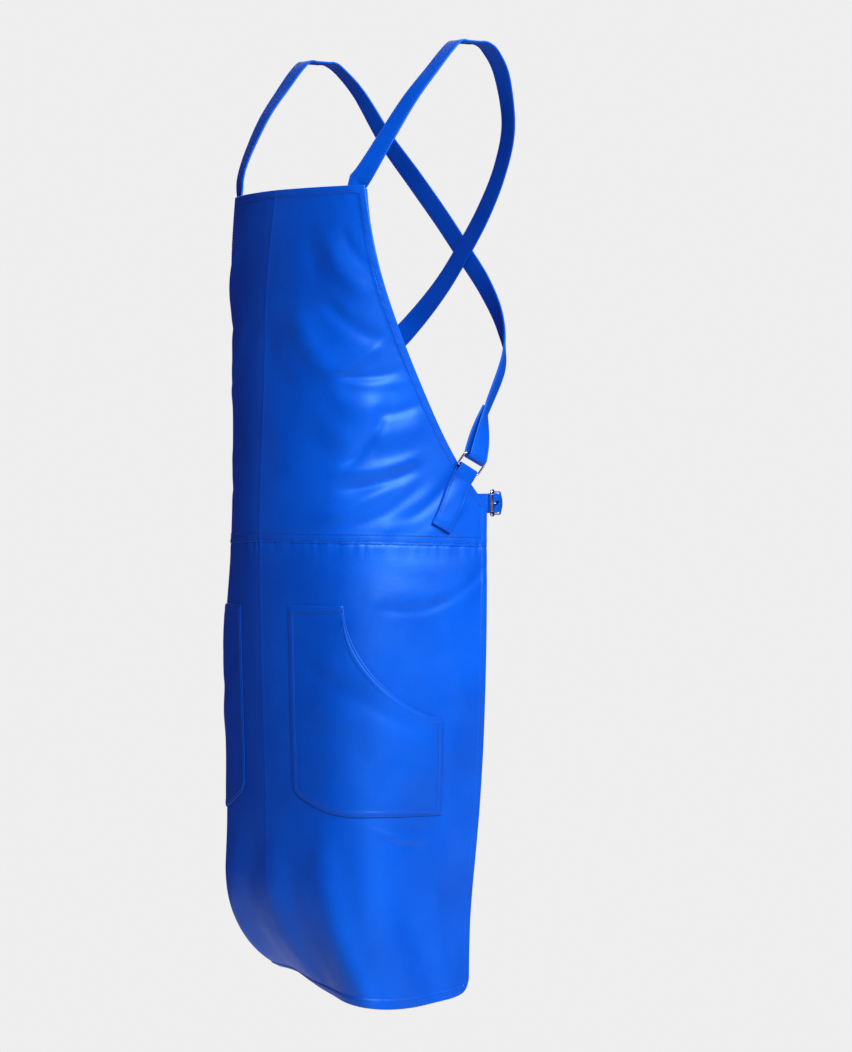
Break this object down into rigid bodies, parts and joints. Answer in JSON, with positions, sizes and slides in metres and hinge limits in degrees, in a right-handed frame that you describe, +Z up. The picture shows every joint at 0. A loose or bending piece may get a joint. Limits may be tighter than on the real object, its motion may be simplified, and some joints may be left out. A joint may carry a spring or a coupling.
{
  "type": "butcher apron",
  "caption": "Full-length leather apron in its worn shape, with a shaped bib, hip pockets with scooped mouths, cross-back shoulder straps held by metal rings, and a buckled waist strap.",
  "frame": {"origin": "midway between the undersides of the two shoulder straps, where they rest on the wearer's shoulders", "axes": "+Z up, -Y the way the wearer faces, +X towards the wearer's left"},
  "size_m": [0.3378, 0.2874, 1.0562],
  "materials": {
    "apron_leather": "satin, smooth coated grain, bright blue",
    "strap_leather": "satin, stitched along the edges, bright blue",
    "bright_steel": "polished nickel plate with fine wear"
  },
  "bodies": {
    "apron": {"bib": "apron_leather", "skirt": "apron_leather", "pocket_left": "apron_leather", "pocket_right": "apron_leather", "shoulder_strap_left": "strap_leather", "shoulder_strap_right": "strap_leather", "ring_tab_left": "strap_leather", "ring_tab_right": "strap_leather", "waist_tongue": "strap_leather", "waist_strap": "strap_leather"},
    "left_ring": {"ring_left": "bright_steel"},
    "right_ring": {"ring_right": "bright_steel"},
    "buckle": {"buckle_frame": "bright_steel"},
    "roller": {"buckle_roller": "bright_steel"},
    "prong": {"buckle_prong": "bright_steel"},
    "keeper": {"strap_keeper": "strap_leather"}
  },
  "joints": [
    {"name": "ring_left_swing", "type": "hinge", "parent": "apron", "child": "left_ring", "pos_m": [0.15694, -0.01531, -0.4678], "axis": [-0.0239, 0.8985, -0.4384], "range_deg": [-6, 3]},
    {"name": "ring_right_swing", "type": "hinge", "parent": "apron", "child": "right_ring", "pos_m": [-0.15694, -0.01531, -0.4678], "axis": [0.0239, 0.8985, -0.4384], "range_deg": [-3, 6]},
    {"name": "buckle_swing", "type": "hinge", "parent": "apron", "child": "buckle", "pos_m": [0.12864, 0.04348, -0.504], "axis": [0, 0, 1], "range_deg": [0, 15]},
    {"name": "roller_spin", "type": "hinge", "parent": "buckle", "child": "roller", "pos_m": [0.14437, 0.02807, -0.504], "axis": [0, 0, 1], "continuous": true},
    {"name": "prong_swing", "type": "hinge", "parent": "buckle", "child": "prong", "pos_m": [0.12864, 0.04348, -0.504], "axis": [0, 0, 1], "range_deg": [0, 45]},
    {"name": "keeper_slide", "type": "slide", "parent": "apron", "child": "keeper", "axis": [-0.682, 0.7314, 0], "range_m": [-0.002, 0.0035]}
  ]
}
